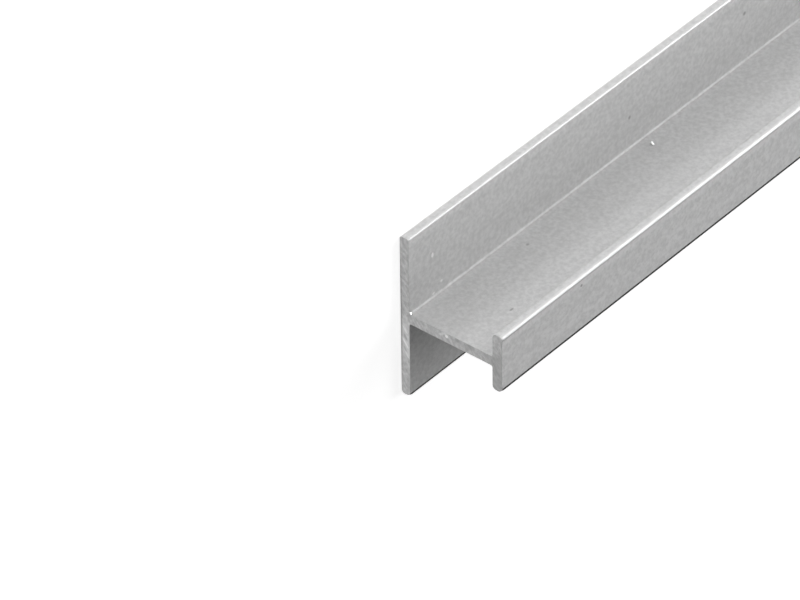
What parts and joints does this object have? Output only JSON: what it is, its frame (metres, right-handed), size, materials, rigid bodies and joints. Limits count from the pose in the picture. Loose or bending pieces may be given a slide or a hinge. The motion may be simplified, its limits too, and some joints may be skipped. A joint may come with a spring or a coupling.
{
  "type": "connector profile",
  "caption": "Length of extruded aluminium H-section with a wide and a narrow flange on one web, for joining boards or sheets edge to edge.",
  "frame": {"origin": "middle of the length, on the wide flange's outer face, under the web's mid-plane", "axes": "+X along the stock, with the end that the picture shows at -X; +Y across the flanges, towards the wide flange's crisp-edged tip; +Z from the wide flange up to the narrow flange"},
  "size_m": [1, 0.0234, 0.0154],
  "materials": {
    "mill_aluminium": "matte mill finish with faint die lines, sawn ends"
  },
  "bodies": {
    "root": {"connector_profile": "mill_aluminium"}
  },
  "joints": []
}
